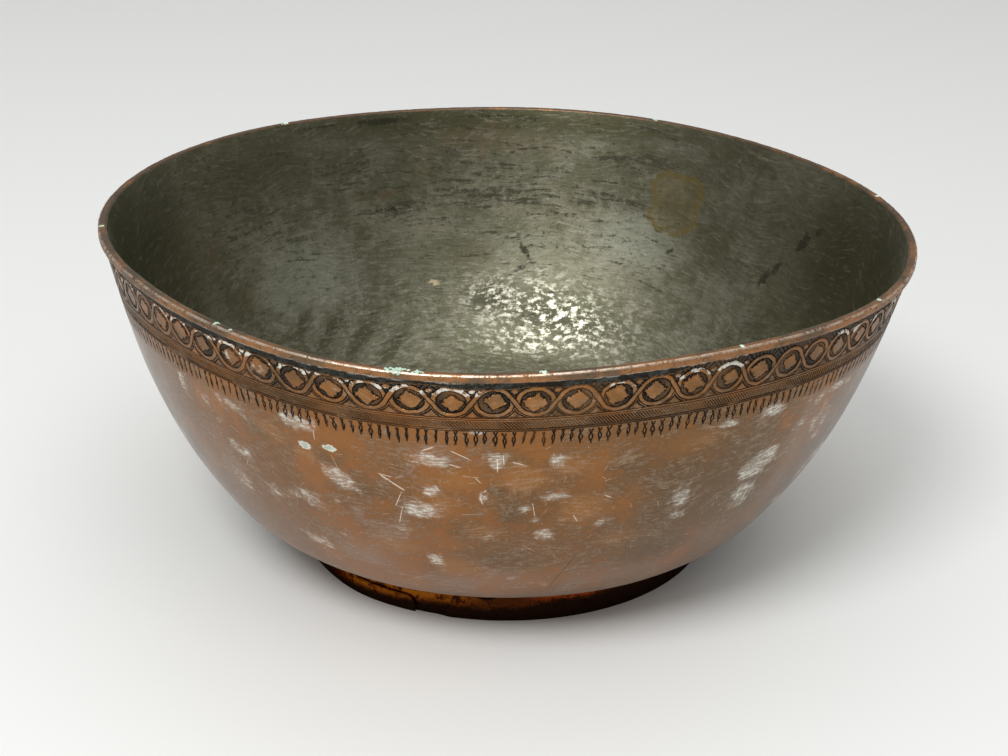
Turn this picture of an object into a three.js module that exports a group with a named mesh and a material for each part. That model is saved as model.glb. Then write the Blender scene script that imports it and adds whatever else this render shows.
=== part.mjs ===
// Footed copper bowl, raised by hand from one sheet, tinned inside, on a lapped strip foot.
// Millimetres, +Z up. The origin is on the floor at the middle of the foot, +Y points away
// from the side that the foot's lap is on. Angles run anticlockwise from +X, seen from above.
import * as THREE from 'three';

// Bowl body: one copper sheet, measured on its outer face
const bodyHeight = 111.5;      // from the lowest point of the bottom up to the top of the rim
const rimRadius = 140;         // mean radius of the rim's outer edge
const wall = 1.5;              // copper sheet
const bottomRadius = 78.5;     // where the shallow bottom turns up into the belly
const bottomRise = 5.6;        // how far the bottom has risen by then
const bellyBend = 36;          // radius of that turn
const bellySlope = 52.4;       // degrees above level where the turn ends
const bellyFullness = 40.7;    // pull of the belly's slope on the wall above it
const neckSlope = 76;          // degrees above level just below the rim
const neckFullness = 26.9;     // pull of the neck's slope on the wall below it

// Rim: the sheet's edge, thickened with the hammer and turned out
const rimOverhang = 1.4;       // how far it stands out over the wall
const rimHeight = 2.9;         // from its underside to its top
const rimLand = 1.2;           // flat width on top
const rimEase = 0.8;           // rounding of the rim's outer corners
const rimInnerDrop = 0.6;      // fall from the land to the inner edge

// Hand raising leaves the mouth neither quite round nor quite level. These waves run round the
// rim and move it out and in, and up and down, by their depth either way.
const outWaves = 4;
const outDepth = 1.7;
const outTurn = -12.5;         // degrees to the first outward crest
const upWaves = 4;
const upDepth = 0.6;
const upTurn = 32;             // degrees to the first high point
const rippleWaves = 5;
const rippleDepth = 0.5;       // up and down only
const rippleTurn = 2;

// Tin lining: wiped over the whole inside, and shown thick enough to stand as a piece
const liningThickness = 0.4;
const liningDrop = 1.1;        // its edge lies this far below the top of the rim

// Foot: a flared strip, bent to a hoop, its ends lapped and brazed
const footHeight = 11.8;
const footSeatRadius = 74.5;   // outer radius where it meets the bottom
const footRadius = 77.6;       // outer radius at the floor
const footThickness = 1.8;
const footEase = 0.35;         // rounding along the standing edge
const lapStart = 218;          // degrees to the inner end, hidden behind the outer one
const lapAngle = 31.5;         // how far the outer end runs past the inner one
const lapThickness = 0.9;      // each end is hammered down to this in the lap
const lapRamp = 5;             // degrees over which an end thins down
const tongueAngle = 25.5;      // length of the outer end's tongue
const tongueTop = 5.4;         // height of the tongue's upper edge
const tongueSlant = 6;         // degrees over which the full strip narrows to the tongue
const flatAngle = 208;         // degrees to a flat in the hoop, where the strip's end stayed straight
const flatDepth = 2.9;         // how far the hoop is drawn in there
const flatSpread = 30;         // degrees over which the flat runs out, to either side

// Braze: the fillet run into the corner between the foot and the bottom, from below
const brazeLeg = 3.2;
const brazeHollow = 0.7;       // how far its face curves in towards the corner

const seatGap = 0.3;           // clearance between faces that touch on the real bowl
const turnSteps = 72;          // facets round the bowl and the foot
const stepAngle = 360 / turnSteps;

const radians = THREE.MathUtils.degToRad;
const heading = (degrees) => new THREE.Vector2(Math.cos(radians(degrees)), Math.sin(radians(degrees)));

// Outer line of the sheet, from the middle of the bottom to the underside of the rim:
// a parabolic dish, a round turn and a full wall that flares at the neck. The path's x is
// the radius and its y the height above the lowest point.
const bottomSlope = THREE.MathUtils.radToDeg(Math.atan((2 * bottomRise) / bottomRadius));
const bottomEdge = new THREE.Vector2(bottomRadius, bottomRise);
const bendCentre = bottomEdge.clone().addScaledVector(heading(bottomSlope + 90), bellyBend);
const bellyStart = bendCentre.clone().addScaledVector(heading(bellySlope - 90), bellyBend);
const neck = new THREE.Vector2(rimRadius - rimOverhang, bodyHeight - rimHeight);
const bellyPull = bellyStart.clone().addScaledVector(heading(bellySlope), bellyFullness);
const neckPull = neck.clone().addScaledVector(heading(neckSlope), -neckFullness);
const dish = new THREE.QuadraticBezierCurve(
  new THREE.Vector2(0, 0), new THREE.Vector2(bottomRadius / 2, 0), bottomEdge);
const bend = new THREE.EllipseCurve(bendCentre.x, bendCentre.y, bellyBend, bellyBend,
  radians(bottomSlope - 90), radians(bellySlope - 90));
const flank = new THREE.CubicBezierCurve(bellyStart, bellyPull, neckPull, neck);

// Points of that line moved into the sheet by a depth along its normal
function sheetLine(depth) {
  const line = [];
  const walk = (curve, steps, first) => {
    for (let i = first; i <= steps; i += 1) {
      const along = curve.getTangent(i / steps);
      const inward = new THREE.Vector2(-along.y, along.x);
      line.push(curve.getPoint(i / steps).addScaledVector(inward, depth));
    }
  };
  walk(dish, 3, 0);
  walk(bend, 5, 1);
  walk(flank, 8, 1);
  line[0].x = 0;
  return line;
}

// Height of the sheet's outer face above its lowest point, at a radius within the bottom
const bottomHeight = (radius) => bottomRise * (radius / bottomRadius) ** 2;

// The body stands with its bottom on the foot's upper edge, which slants as the bottom does
const bodyLift = footHeight + seatGap - bottomHeight(footSeatRadius - footThickness);
const seatSlant = bottomHeight(footSeatRadius) - bottomHeight(footSeatRadius - footThickness);

// Height above the floor of what seats against the bottom at a radius
const seatHeight = (radius) => bodyLift + bottomHeight(radius) - seatGap;

// One wave's height at an angle round the bowl
const wave = (count, depth, turn, angle) => depth * Math.cos(count * (angle - radians(turn)));

// Turns a closed half outline about the axis, then moves it as the hammer left the mouth: not
// at all at the bottom, and by the full waves at the rim
function raised(outline) {
  const geometry = new THREE.LatheGeometry(outline, turnSteps);
  geometry.rotateX(Math.PI / 2);
  const place = geometry.attributes.position;
  for (let i = 0; i < place.count; i += 1) {
    const radius = Math.hypot(place.getX(i), place.getY(i));
    if (radius > seatGap) {
      const angle = Math.atan2(place.getY(i), place.getX(i));
      const share = (place.getZ(i) / bodyHeight) ** 2;
      const out = wave(outWaves, outDepth, outTurn, angle);
      const up = wave(upWaves, upDepth, upTurn, angle)
        + wave(rippleWaves, rippleDepth, rippleTurn, angle);
      const stretch = 1 + (share * out) / radius;
      place.setXYZ(i, place.getX(i) * stretch, place.getY(i) * stretch, place.getZ(i) + share * up);
    }
  }
  geometry.computeVertexNormals();
  return geometry;
}

// Body outline: up the outside, round the rim, and down the inside of the sheet
function bodyOutline() {
  const underside = neck.y;
  const landEdge = rimRadius - rimEase;
  const innerWall = sheetLine(wall);
  const innerTop = innerWall[innerWall.length - 1];
  return [
    ...sheetLine(0),
    new THREE.Vector2(rimRadius - rimEase / 2, underside + rimEase / 8),
    new THREE.Vector2(rimRadius, underside + rimEase),
    new THREE.Vector2(rimRadius, bodyHeight - rimEase),
    new THREE.Vector2(landEdge, bodyHeight),
    new THREE.Vector2(landEdge - rimLand, bodyHeight),
    new THREE.Vector2(innerTop.x + (bodyHeight - rimInnerDrop - innerTop.y) / Math.tan(radians(neckSlope)),
      bodyHeight - rimInnerDrop),
    ...innerWall.reverse(),
  ];
}

// Lining outline: the same line, deeper in, between two depths below the sheet's outer face
function liningOutline() {
  const edge = bodyHeight - liningDrop;
  const skin = (depth) => {
    const line = sheetLine(depth);
    const top = line[line.length - 1];
    const reach = (edge - top.y) / Math.tan(radians(neckSlope));
    line.push(new THREE.Vector2(top.x + reach, edge));
    return line;
  };
  return [...skin(wall + seatGap), ...skin(wall + seatGap + liningThickness).reverse()];
}

// Outer radius of the foot at a height: upright at the floor and drawn in towards the bottom
function footFace(height) {
  const down = 1 - height / footHeight;
  return footSeatRadius + (footRadius - footSeatRadius) * Math.sin((down * Math.PI) / 2);
}

// Rises smoothly from 0 to 1 as a value goes from low to high
const ease = (value, low, high) => THREE.MathUtils.smoothstep(value, low, high);

// How far the foot's hoop is drawn in at an angle round the bowl
function drawnIn(angle) {
  const turn = THREE.MathUtils.radToDeg(angle) - flatAngle;
  const away = Math.abs(turn - 360 * Math.round(turn / 360));
  return flatDepth * (1 - ease(away, 0, flatSpread));
}

// The foot's strip, as a section carried round from the inner end to the outer one. In the lap
// the inner end is hollowed on its outer face and the outer end on its inner face.
function footGeometry() {
  const full = 360 + lapAngle;
  const tongueStart = full - tongueAngle;
  const steps = Math.round(full / stepAngle);
  const hollow = footThickness - lapThickness;
  const position = [];
  const index = [];
  const levels = 3;
  let ring = 0;
  for (let i = 0; i <= steps; i += 1) {
    const run = (full * i) / steps;
    const angle = radians(lapStart + run);
    const innerEnd = hollow * (1 - ease(run, lapAngle + stepAngle, lapAngle + stepAngle + lapRamp));
    const outerEnd = ease(run, 360 - lapRamp - stepAngle, 360 - stepAngle);
    const narrow = ease(run, tongueStart, tongueStart + tongueSlant);
    const flat = drawnIn(angle);
    const seat = seatHeight(footSeatRadius - footThickness - flat);
    const top = THREE.MathUtils.lerp(seat, tongueTop, narrow);
    const out = outerEnd * seatGap - flat;
    const bevel = seatSlant * (1 - narrow);
    const section = [];
    for (let k = 0; k <= levels; k += 1) {
      const height = k === 0 ? footEase : (top * k) / levels;
      section.push([footFace(height) - innerEnd + out, k === levels ? height + bevel : height]);
    }
    for (let k = levels; k >= 0; k -= 1) {
      const height = k === 0 ? footEase : (top * k) / levels;
      section.push([footFace(height) - footThickness + outerEnd * hollow + out, height]);
    }
    section.push([footFace(0) - footThickness + outerEnd * hollow + out + footEase, 0]);
    section.push([footFace(0) - innerEnd + out - footEase, 0]);
    ring = section.length;
    for (const [radius, height] of section) {
      position.push(radius * Math.cos(angle), radius * Math.sin(angle), height);
    }
  }
  for (let i = 0; i < steps; i += 1) {
    for (let k = 0; k < ring; k += 1) {
      const a = i * ring + k;
      const b = i * ring + ((k + 1) % ring);
      index.push(a, a + ring, b, b, a + ring, b + ring);
    }
  }
  for (let k = 1; k < ring - 1; k += 1) {
    const last = steps * ring;
    index.push(0, k, k + 1, last, last + k + 1, last + k);
  }
  const geometry = new THREE.BufferGeometry();
  geometry.setAttribute('position', new THREE.Float32BufferAttribute(position, 3));
  geometry.setIndex(index);
  geometry.computeVertexNormals();
  return geometry;
}

// Braze outline, in the corner inside the foot: down the strip, and in under the bottom
function brazeOutline() {
  const inner = footSeatRadius - footThickness - seatGap;
  const low = footHeight - brazeLeg;
  const toe = new THREE.Vector2(footFace(low) - footThickness - seatGap, low);
  const corner = new THREE.Vector2(inner, seatHeight(inner));
  const end = new THREE.Vector2(inner - brazeLeg, seatHeight(inner - brazeLeg));
  const face = toe.clone().lerp(end, 0.5);
  const hollowed = face.add(corner.clone().sub(face).setLength(brazeHollow));
  return [corner, end, hollowed, toe, corner.clone()];
}

// Turns the braze outline about the axis, then draws it in with the hoop, and down with the bottom
function brazeGeometry() {
  const geometry = new THREE.LatheGeometry(brazeOutline(), turnSteps);
  geometry.rotateX(Math.PI / 2);
  const place = geometry.attributes.position;
  for (let i = 0; i < place.count; i += 1) {
    const angle = Math.atan2(place.getY(i), place.getX(i));
    const radius = Math.hypot(place.getX(i), place.getY(i));
    const drawn = radius - drawnIn(angle);
    const fall = seatHeight(radius) - seatHeight(drawn);
    place.setXYZ(i, drawn * Math.cos(angle), drawn * Math.sin(angle), place.getZ(i) - fall);
  }
  geometry.computeVertexNormals();
  return geometry;
}

const copper = new THREE.MeshStandardMaterial({ color: 0xb06c4b, roughness: 0.42, metalness: 1 });
const tin = new THREE.MeshStandardMaterial({ color: 0x8f8e7c, roughness: 0.5, metalness: 1 });
const darkCopper = new THREE.MeshStandardMaterial({ color: 0x7a3c1c, roughness: 0.4, metalness: 1 });
const solder = new THREE.MeshStandardMaterial({ color: 0x77756c, roughness: 0.6, metalness: 1 });

function piece(name, geometry, material, lift) {
  const mesh = new THREE.Mesh(geometry, material);
  mesh.name = name;
  mesh.position.z = lift;
  return mesh;
}

const bowl = new THREE.Group();
bowl.name = 'footed_bowl';
bowl.add(piece('bowl_body', raised(bodyOutline()), copper, bodyLift));
bowl.add(piece('tin_lining', raised(liningOutline()), tin, bodyLift));
bowl.add(piece('foot_ring', footGeometry(), darkCopper, 0));
bowl.add(piece('foot_braze', brazeGeometry(), solder, 0));

export default bowl;
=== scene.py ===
"""A footed copper bowl: raised from one sheet, tinned inside, and engraved in a band under its rim."""
import math
import random
from functools import reduce

import bpy
import numpy as np
from mathutils import Matrix, Vector


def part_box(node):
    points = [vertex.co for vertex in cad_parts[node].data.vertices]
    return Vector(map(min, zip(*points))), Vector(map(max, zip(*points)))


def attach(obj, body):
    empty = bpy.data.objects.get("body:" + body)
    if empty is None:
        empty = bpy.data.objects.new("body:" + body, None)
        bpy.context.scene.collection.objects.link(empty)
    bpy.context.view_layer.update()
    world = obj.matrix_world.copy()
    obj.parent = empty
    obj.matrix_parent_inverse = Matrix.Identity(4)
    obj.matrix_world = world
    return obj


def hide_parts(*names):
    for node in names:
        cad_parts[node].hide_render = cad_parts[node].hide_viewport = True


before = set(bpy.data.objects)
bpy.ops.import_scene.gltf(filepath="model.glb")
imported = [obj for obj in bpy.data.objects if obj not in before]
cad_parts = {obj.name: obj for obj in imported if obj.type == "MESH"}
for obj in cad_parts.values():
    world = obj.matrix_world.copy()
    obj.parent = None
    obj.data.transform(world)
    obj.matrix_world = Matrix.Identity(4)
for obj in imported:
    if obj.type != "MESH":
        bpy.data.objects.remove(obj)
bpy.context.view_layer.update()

# Belly wall: the bowl's side below the engraving, and its bottom. It is copper sheet, raised from
# a flat disc over a stake with the hammer, so it is neither quite round nor quite even. Above it
# the same sheet goes on through the engraved band into the rim.
MM = 0.001                   # every length below is in millimetres, and the trees turn them to metres
body_height = 111.5
rim_radius = 140.0
sheet = 1.5
bottom_radius = 78.5
bottom_rise = 5.6
belly_bend = 36.0
belly_slope = math.radians(52.4)
belly_fullness = 40.7
neck_slope = math.radians(76)
neck_fullness = 26.9
rim_overhang = 1.4
rim_height = 2.9
body_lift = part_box("bowl_body")[0].z / MM

# How far the mouth is out of round and out of level: waves round the rim, that fade downwards
out_waves, out_depth, out_turn = 4, 1.7, math.radians(-12.5)
up_waves, up_depth, up_turn = 4, 0.6, math.radians(32)
ripple_waves, ripple_depth, ripple_turn = 5, 0.5, math.radians(2)
seam_angle = math.radians(90)

band_radius = 138.0          # lengths round the wall are taken at this radius
frieze_height = 13.1         # the roundels and the first line below them
border_foot = 24.4           # the plain wall starts here, below the row of ticks


def sums(operation):
    """One of Python's operators, as a Math node."""
    return lambda wire, other: wire.maths(operation, other)


class Wire:
    """A socket of a node tree. Sums written on it add Math nodes, and make adds any other node."""

    def __init__(self, socket):
        self.socket = socket

    @staticmethod
    def make(tree, kind, inputs=None, settings=None, output=0):
        """Adds a node, sets it up, gives its inputs their values or links, and returns one output."""
        node = tree.nodes.new(kind)
        for name, value in (settings or {}).items():
            setattr(node, name, value)
        for name, value in (inputs or {}).items():
            if isinstance(value, Wire):
                tree.links.new(value.socket, node.inputs[name])
            else:
                node.inputs[name].default_value = value
        return Wire(node.outputs[output])

    def through(self, kind, inputs=None, settings=None, output=0):
        """A node that this socket runs into, at its first input."""
        return Wire.make(self.socket.id_data, kind, {0: self, **(inputs or {})}, settings, output)

    def maths(self, operation, *others):
        return self.through("ShaderNodeMath", dict(enumerate(others, 1)), {"operation": operation})

    __add__ = __radd__ = sums("ADD")
    __sub__ = sums("SUBTRACT")
    __mul__ = __rmul__ = sums("MULTIPLY")
    __truediv__ = sums("DIVIDE")
    __pow__ = sums("POWER")
    __mod__ = sums("FLOORED_MODULO")
    __lt__ = sums("LESS_THAN")
    __gt__ = sums("GREATER_THAN")

    def __abs__(self):
        return self.maths("ABSOLUTE")

    def __rsub__(self, other):
        return self.maths("MULTIPLY_ADD", -1.0, other)

    def step(self, low, high, start, end):
        """Start below low, end above high, and smooth in between."""
        return self.through("ShaderNodeMapRange", {1: low, 2: high, 3: start, 4: end},
                            {"interpolation_type": "SMOOTHSTEP"})

    def over(self, low, high):
        return self.step(low, high, 0.0, 1.0)

    def under(self, low, high):
        return self.step(low, high, 1.0, 0.0)

    def most(self, other):
        return self.maths("MAXIMUM", other)

    def parts(self):
        """The three numbers of a vector or colour."""
        return [Wire(socket) for socket in self.through("ShaderNodeSeparateXYZ").socket.node.outputs]


def vector(tree, x, y, z):
    return Wire.make(tree, "ShaderNodeCombineXYZ", {0: x, 1: y, 2: z})


def moved(place, way):
    """A place moved by a vector, which is a link or three numbers."""
    return place.through("ShaderNodeVectorMath", {1: way}, {"operation": "ADD"})


def scaled(place, size):
    return place.through("ShaderNodeVectorMath", {3: size}, {"operation": "SCALE"})


def noise(place, per_mm, detail=3.0, roughness=0.5, output=0):
    """Smooth noise at a place in millimetres: a value round 0.5, or a colour with output 1."""
    return place.through("ShaderNodeTexNoise", {"Scale": per_mm, "Detail": detail, "Roughness": roughness},
                         output=output)


def brushed(place, down, along, across, detail=3.0, sway=12.0):
    """Noise drawn out round the bowl, in strokes that climb and fall as far as they may sway."""
    wander = (down + (noise(place, 0.02, detail=1.0) - 0.5) * sway) * (across - along)
    stretched = moved(scaled(place, along), vector(place.socket.id_data, 0.0, 0.0, wander))
    return noise(stretched, 1.0, detail=detail, roughness=0.65)


def heading(angle):
    return Vector((math.cos(angle), math.sin(angle)))


# The sheet's outer line from the underside of the rim down to the middle of the bottom, as curve
# segments of (start, handle, handle, end) in radius and height: the flank, the bend and the dish
bottom_slope = math.atan(2 * bottom_rise / bottom_radius)
bottom_edge = Vector((bottom_radius, bottom_rise))
bend_centre = bottom_edge + heading(bottom_slope + math.pi / 2) * belly_bend
belly_start = bend_centre + heading(belly_slope - math.pi / 2) * belly_bend
bend_pull = belly_bend * 4 / 3 * math.tan((belly_slope - bottom_slope) / 4)
neck = Vector((rim_radius - rim_overhang, body_height - rim_height))
middle = Vector((0, 0))
dish_pull = Vector((bottom_radius / 2, 0))
sheet_line = [
    (neck, neck - heading(neck_slope) * neck_fullness,
     belly_start + heading(belly_slope) * belly_fullness, belly_start),
    (belly_start, belly_start - heading(belly_slope) * bend_pull,
     bottom_edge + heading(bottom_slope) * bend_pull, bottom_edge),
    (bottom_edge, bottom_edge.lerp(dish_pull, 2 / 3), middle.lerp(dish_pull, 2 / 3), middle),
]


def line_points(segments, steps=200):
    """Points along a chain of curve segments, at short steps."""
    return [a * (1 - t) ** 3 + b * 3 * t * (1 - t) ** 2 + c * 3 * t * t * (1 - t) + d * t ** 3
            for a, b, c, d in segments for t in np.linspace(0, 1, steps)]


def line_length(segments):
    points = line_points(segments)
    return sum((q - p).length for p, q in zip(points, points[1:]))


def line_at(distance):
    """The point of the sheet's outer line at a distance down from the rim."""
    points = line_points(sheet_line)
    for p, q in zip(points, points[1:]):
        if distance <= (q - p).length:
            return p + (q - p).normalized() * distance
        distance -= (q - p).length
    raise ValueError("the place lies off the line")


wall_length = line_length(sheet_line)


def cosine(angle):
    return angle.maths("COSINE") if isinstance(angle, Wire) else math.cos(angle)


def raised(angle, radius, height):
    """Radius and height above the floor, as the hammer left them: with the mouth's waves."""
    share = (height / body_height) ** 2.0
    out = cosine((angle - out_turn) * out_waves) * out_depth
    up = (cosine((angle - up_turn) * up_waves) * up_depth
          + cosine((angle - ripple_turn) * ripple_waves) * ripple_depth)
    return radius + share * out, height + share * up + body_lift


blow_depth, dent_depth = 0.22, 0.5   # the hammer's, and those of later knocks


def hammering(place):
    """How deep the hammer and years of use have left the sheet at a place, in millimetres."""
    blows = noise(place, 0.055, detail=1.0) - 0.5
    dents = noise(place, 0.018, detail=0.0) - 0.5
    return blows * blow_depth + dents * dent_depth


curve_steps = 96             # points on each segment of a line
merge_reach = 0.002          # closes the seam, and the pole in the middle
sharp_corner = math.radians(58)    # edges sharper than this aren't shaded smooth


def new_tree(name, inputs):
    """A tree and the wires of its inputs. An input's usual value tells its kind: a whole number, a
    number, or None for a geometry."""
    tree = bpy.data.node_groups.new(name, "GeometryNodeTree")
    for label, usual in inputs.items():
        kind = {int: "Int", float: "Float"}.get(type(usual), "Geometry")
        socket = tree.interface.new_socket(label, in_out="INPUT", socket_type="NodeSocket" + kind)
        if usual is not None:
            socket.default_value = usual
    tree.interface.new_socket("Geometry", in_out="OUTPUT", socket_type="NodeSocketGeometry")
    sockets = tree.nodes.new("NodeGroupInput").outputs
    return tree, {socket.name: Wire(socket) for socket in sockets if socket.name}


def ended(mesh, material):
    """The end of every tree: one plain mesh of one material."""
    tree = mesh.socket.id_data
    mesh = mesh.through("GeometryNodeRealizeInstances")
    mesh = mesh.through("GeometryNodeSetMaterial", {"Material": material})
    tree.links.new(mesh.socket, tree.nodes.new("NodeGroupOutput").inputs[0])
    return tree


def spun_tree(name, segments, material, relief=None, closed=False, bent=raised):
    """A tree that lays a flat grid round the bowl's axis. Its columns run round the bowl, and its
    rows down the segments' line on the face and back up behind it, or once round a closed line."""
    tree, given = new_tree(name, {
        "Columns": 480, "Rows": 40, "Back rows": 1,
        "From": 0.0, "To": 1.0, "Depth": 0.0, "Thickness": 0.0, "Crowding": 1.0})
    joined = tree.nodes.new("GeometryNodeJoinGeometry")
    for a, b, c, d in reversed(segments):
        part = Wire.make(tree, "GeometryNodeCurvePrimitiveBezierSegment", {
            "Resolution": curve_steps, "Start": (a.x, 0, a.y), "Start Handle": (b.x, 0, b.y),
            "End Handle": (c.x, 0, c.y), "End": (d.x, 0, d.y)})
        tree.links.new(part.socket, joined.inputs[0])

    rows, back_rows = given["Rows"], given["Back rows"]
    steps = rows if closed else rows + back_rows + 2
    grid = Wire.make(tree, "GeometryNodeMeshGrid", {
        "Size X": 1.0, "Size Y": 1.0, "Vertices X": given["Columns"] + 1, "Vertices Y": steps + 1})
    across, along, _ = Wire.make(tree, "GeometryNodeInputPosition").parts()
    angle = (0.5 - across) * math.tau + seam_angle
    row = (along + 0.5) * steps
    on_face = (row / rows).maths("MINIMUM", 1.0) ** given["Crowding"]
    behind = (row > rows + 0.5) * (row < steps - 0.5)
    depth = given["Depth"]
    reached = on_face
    if not closed:
        reached = on_face - ((row - rows - 1) / back_rows).most(0.0).maths("MINIMUM", 1.0)
        depth = depth + given["Thickness"] * behind
    down = given["From"] + (given["To"] - given["From"]) * reached

    def sample(output):
        return Wire(joined.outputs[0]).through("GeometryNodeSampleCurve", {"Length": down.most(0.0)}, {
            "mode": "LENGTH", "use_all_curves": True}, output)

    # Above the line's start, the wall runs straight on
    above = down.maths("MINIMUM", 0.0)
    radius, _, height = sample("Position").parts()
    lean_in, _, lean_down = sample("Tangent").parts()
    radius = radius + lean_in * above + lean_down * depth
    height = height + lean_down * above - lean_in * depth
    radius, height = bent(angle, radius, height)
    turn_x, turn_y = cosine(angle), angle.maths("SINE")
    place = vector(tree, radius * turn_x, radius * turn_y, height)
    outwards = vector(tree, lean_down * turn_x * -1.0, lean_down * turn_y * -1.0, lean_in)

    round_it = angle * (180 / math.pi)
    sunk = (relief(round_it, down, place) if relief else 0.0) * (1 - behind)
    if not closed:
        sunk = sunk + hammering(place)
    sunk_place = place.through("ShaderNodeVectorMath", {1: scaled(outwards, sunk)}, {"operation": "SUBTRACT"})

    # The angle, and the length round a closed line, are kept on the faces' corners, because they
    # start again at the seam
    mesh = grid
    for label, value, at_corners in (("round", round_it, True), ("down", down, closed)):
        mesh = mesh.through("GeometryNodeStoreNamedAttribute", {"Name": label, "Value": value}, {
            "data_type": "FLOAT", "domain": "CORNER" if at_corners else "POINT"})
    mesh = mesh.through("GeometryNodeSetPosition", {"Position": sunk_place})
    mesh = mesh.through("GeometryNodeMergeByDistance", {"Distance": merge_reach})
    loose = Wire.make(tree, "GeometryNodeInputMeshEdgeNeighbors") < 0.5
    mesh = mesh.through("GeometryNodeDeleteGeometry", {1: loose}, {"domain": "EDGE"})
    corner = Wire.make(tree, "GeometryNodeInputMeshEdgeAngle") > sharp_corner
    mesh = mesh.through("GeometryNodeSetShadeSmooth", {1: corner, 2: False}, {"domain": "EDGE"})
    mesh = mesh.through("GeometryNodeTransform", {"Scale": (MM, MM, MM)})
    return ended(mesh, material)


def placed(name, data):
    piece = bpy.data.objects.new(name, data)
    bpy.context.scene.collection.objects.link(piece)
    return piece


def grown(name, tree, sizes, base=None):
    """The plain mesh that a tree makes from its sizes, as an object of that name."""
    piece = placed(name, base or bpy.data.meshes.new(name))
    modifier = piece.modifiers.new(name, "NODES")
    modifier.node_group = tree
    for item in tree.interface.items_tree:
        if item.name in sizes:
            modifier[item.identifier] = sizes[item.name]
    graph = bpy.context.evaluated_depsgraph_get()
    mesh = bpy.data.meshes.new_from_object(piece.evaluated_get(graph), preserve_all_data_layers=True,
                                           depsgraph=graph)
    piece.modifiers.remove(modifier)
    piece.data = mesh
    mesh.name = name
    return piece


def mark(piece, kinds):
    """Keeps, at each vertex and for each kind of mark, how near it is to the middle of one: the
    mark's strength there, half of it at its half sizes, and less further out. A mark is its angle
    round the bowl in degrees, distance down from the rim, half width, half height, strength and, if
    it isn't level, its tilt in degrees, which turns its right end up."""
    mesh = piece.data
    place = np.empty(len(mesh.vertices) * 3, np.float32)
    mesh.vertices.foreach_get("co", place)
    place = place.reshape(-1, 3)
    down = np.empty(len(mesh.vertices), np.float32)
    mesh.attributes["down"].data.foreach_get("value", down)
    angle = np.degrees(np.arctan2(place[:, 1], place[:, 0]))
    reach = np.hypot(place[:, 0], place[:, 1]) / MM
    for name, marks in kinds.items():
        cover = np.zeros(len(down))
        for turn, low, half_width, half_height, strength, *tilt in marks:
            x = np.radians((angle - turn + 180) % 360 - 180) * reach
            y = low - down
            lean = math.radians(sum(tilt))
            c, s = math.cos(lean), math.sin(lean)
            size = ((x * c + y * s) / half_width) ** 2 + ((y * c - x * s) / half_height) ** 2
            cover = np.maximum(cover, strength * 0.5 ** size)
        mesh.attributes.new(name, "FLOAT", "POINT").data.foreach_set("value", cover.astype(np.float32))


def new_finish(name):
    """A material with its tree and its Principled shader, and the places of the surface in
    millimetres."""
    material = bpy.data.materials.new(name)
    material.use_nodes = True
    tree = material.node_tree
    place = scaled(Wire.make(tree, "ShaderNodeTexCoord", output="Object"), 1 / MM)
    return material, tree, tree.nodes["Principled BSDF"], place


def kept(tree, name):
    """A number that was kept on the mesh."""
    return Wire.make(tree, "ShaderNodeAttribute", settings={"attribute_name": name}, output="Fac")


def coated(colour, *coats):
    """A colour with coats laid over it in turn, each as its share and its colour. A colour is three
    numbers or a link."""
    for share, coat in coats:
        under, over = [c if isinstance(c, Wire) else (*c, 1.0) for c in (colour, coat)]
        colour = share.through("ShaderNodeMix", {6: under, 7: over}, {"data_type": "RGBA"}, output=2)
    return colour


def dress(tree, shader, colour, roughness, metal, height):
    """Plugs a finish into its shader. The height is in millimetres."""
    bump = Wire.make(tree, "ShaderNodeBump", {"Height": height, "Distance": MM, "Strength": 1.0})
    plugs = {"Base Color": colour, "Roughness": roughness, "Metallic": metal, "Normal": bump}
    for name, wire in plugs.items():
        tree.links.new(wire.socket, shader.inputs[name])


# What years on a shelf and on the fire have left on the outside: colours of worn copper
warm_copper = (0.300, 0.128, 0.042)
brown_copper = (0.205, 0.102, 0.042)
grey_copper = (0.270, 0.200, 0.145)
olive_copper = (0.138, 0.084, 0.042)
orange_copper = (0.345, 0.155, 0.048)
pink_copper = (0.310, 0.205, 0.148)
bare_copper = (0.82, 0.66, 0.52)
rubbed_copper = (0.55, 0.41, 0.30)
pricked_copper = (0.60, 0.45, 0.34)
cut_copper = (0.86, 0.76, 0.64)
haze_and_sheen_grey = (0.200, 0.168, 0.144)
haze_and_sheen_bright = (0.56, 0.49, 0.43)
chalk_white = (0.70, 0.67, 0.59)
spot_green = (0.40, 0.47, 0.38)
spot_dark = (0.20, 0.235, 0.19)
spot_edge = (0.70, 0.69, 0.60)
nick_black = (0.020, 0.016, 0.013)
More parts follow.
